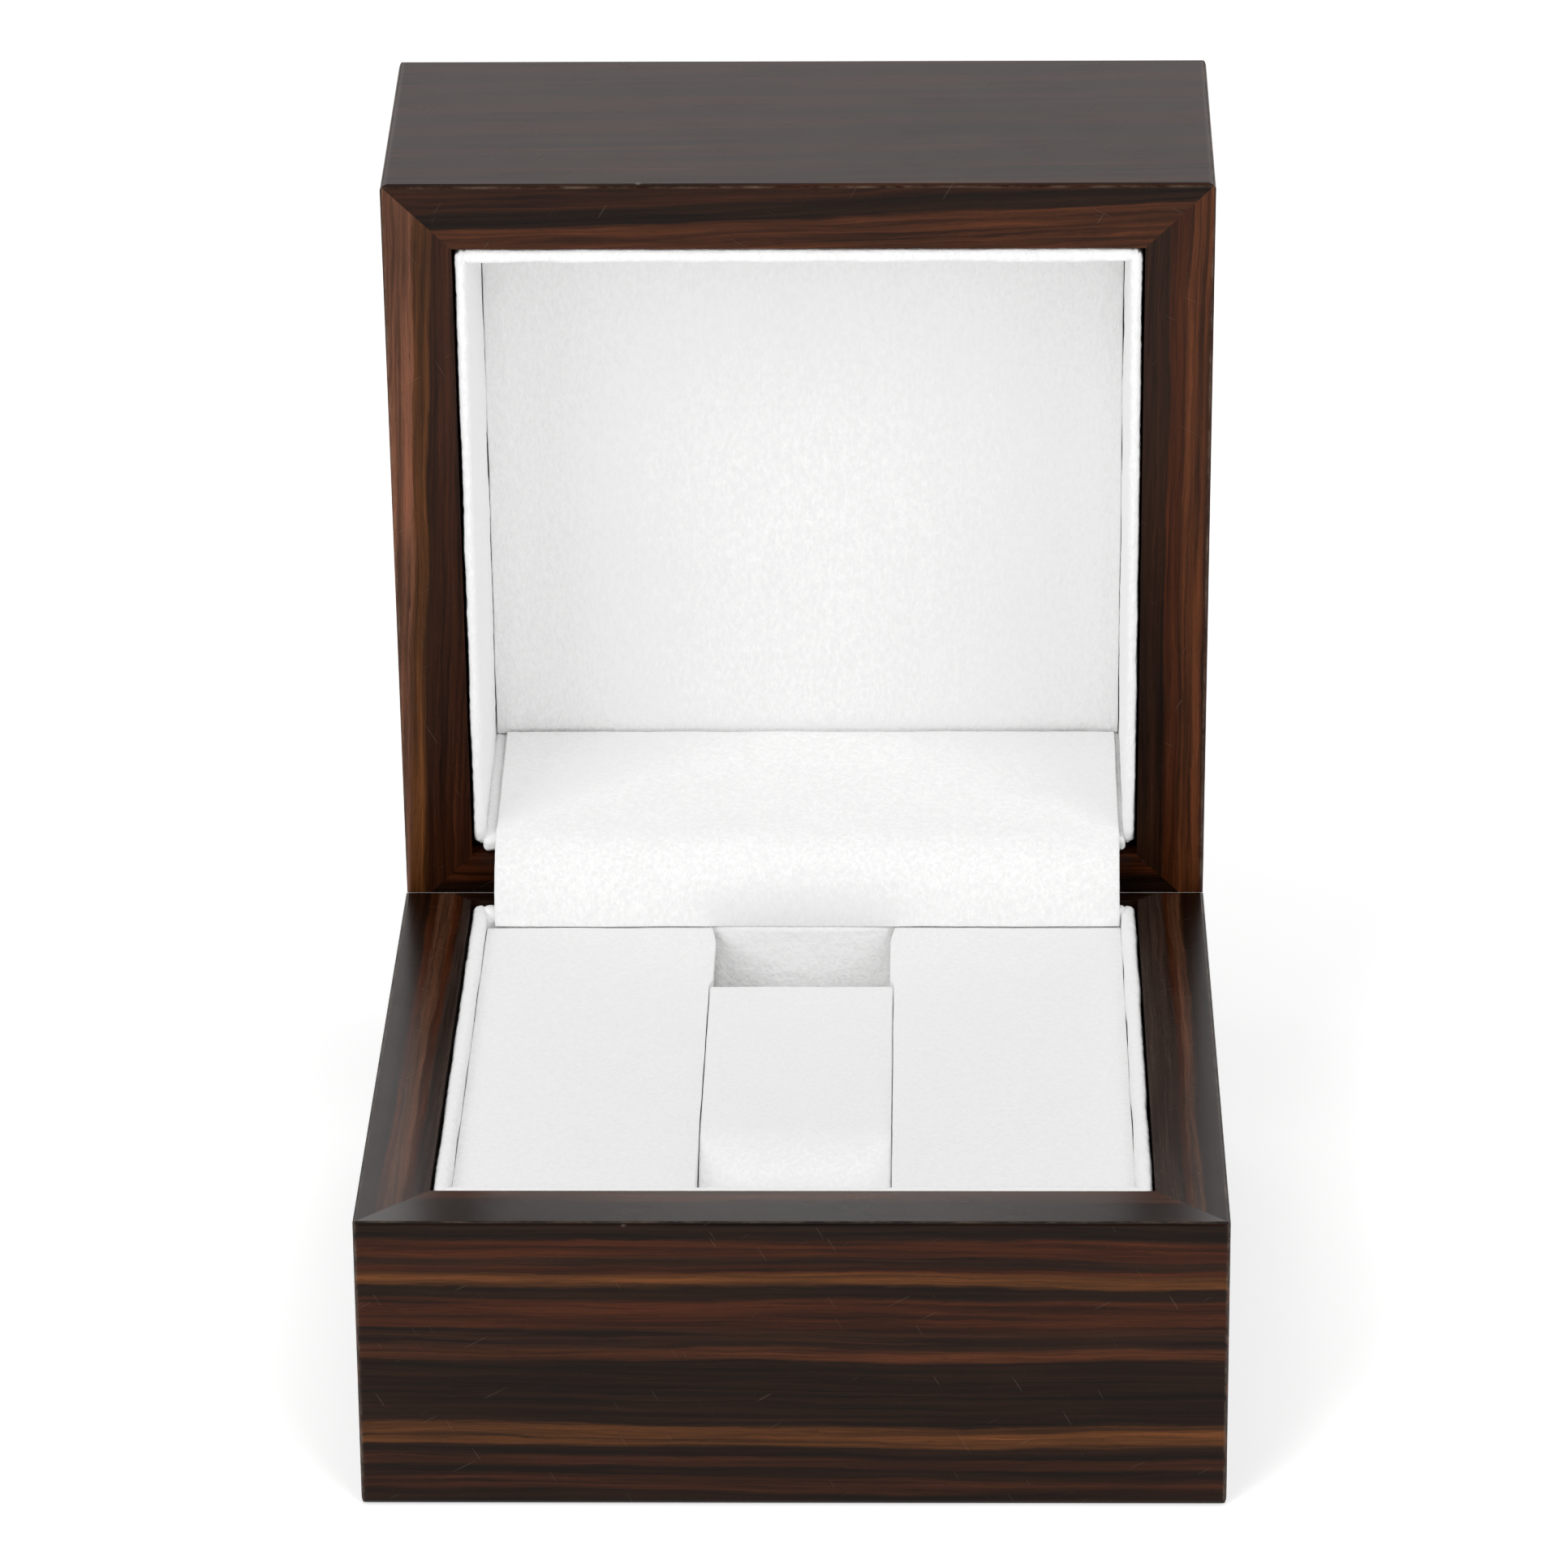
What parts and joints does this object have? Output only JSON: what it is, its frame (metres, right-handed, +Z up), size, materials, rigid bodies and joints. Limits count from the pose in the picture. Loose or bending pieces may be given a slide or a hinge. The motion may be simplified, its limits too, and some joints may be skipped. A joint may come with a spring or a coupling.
{
  "type": "watch box",
  "caption": "Square single watch box in dark striped veneer with a spring-hinged lid, pale suede lining and a lift-out watch collar between two boards.",
  "frame": {"origin": "centre of the underside, on the face of the felt that the box stands on", "axes": "+X to the right seen from the front, +Y back towards the hinge, +Z up; the lid is stored fully open"},
  "size_m": [0.11, 0.1478, 0.1494],
  "materials": {
    "macassar_veneer": "straight-striped dark brown veneer under satin lacquer",
    "bottom_panel": "plain fibreboard",
    "underside_felt": "short black felt",
    "suede_lining": "off-white microfibre suede with a short nap",
    "support_block": "plain fibreboard",
    "collar_core": "matt moulded plastic",
    "hinge_steel": "nickel-plated sheet steel",
    "screw_steel": "bright zinc-plated steel",
    "spring_steel": "drawn spring wire"
  },
  "bodies": {
    "base": {"base_wall_front": "macassar_veneer", "base_wall_back": "macassar_veneer", "base_wall_left": "macassar_veneer", "base_wall_right": "macassar_veneer", "base_floor": "bottom_panel", "underside_felt": "underside_felt", "base_cuff_front": "suede_lining", "base_cuff_back": "suede_lining", "base_cuff_left": "suede_lining", "base_cuff_right": "suede_lining", "side_block_left": "support_block", "side_block_right": "support_block", "side_board_left": "suede_lining", "side_board_right": "suede_lining", "channel_lining_left": "suede_lining", "channel_lining_right": "suede_lining", "channel_floor_pad": "suede_lining", "hinge_base_leaf": "hinge_steel", "hinge_base_screws": "screw_steel", "hinge_pin": "hinge_steel", "hinge_spring": "spring_steel", "hinge_flap": "suede_lining"},
    "lid": {"lid_wall_front": "macassar_veneer", "lid_wall_back": "macassar_veneer", "lid_wall_left": "macassar_veneer", "lid_wall_right": "macassar_veneer", "lid_top_panel": "macassar_veneer", "lid_cuff_front": "suede_lining", "lid_cuff_back": "suede_lining", "lid_cuff_left": "suede_lining", "lid_cuff_right": "suede_lining", "lid_ceiling_pad": "suede_lining", "hinge_lid_leaf": "hinge_steel", "hinge_lid_screws": "screw_steel", "hinge_spring_arm": "spring_steel"},
    "collar": {"collar_core_lower": "collar_core", "collar_pad_lower": "suede_lining"},
    "collar_leaf": {"collar_core_upper": "collar_core", "collar_pad_upper": "suede_lining"}
  },
  "joints": [
    {"name": "lid_hinge", "type": "hinge", "parent": "base", "child": "lid", "pos_m": [0, 0.0505, 0.0402], "axis": [1, 0, 0], "range_deg": [0, 84], "deforming": ["hinge_flap"]},
    {"name": "collar_lift", "type": "slide", "parent": "base", "child": "collar", "axis": [0, 0, 1], "range_m": [0, 0.028]},
    {"name": "collar_flex", "type": "hinge", "parent": "collar", "child": "collar_leaf", "pos_m": [0, -0.0324, 0.0216], "axis": [-1, 0, 0], "range_deg": [0, 8], "stiffness_Nm_per_rad": 2, "springref_deg": -1.15}
  ]
}
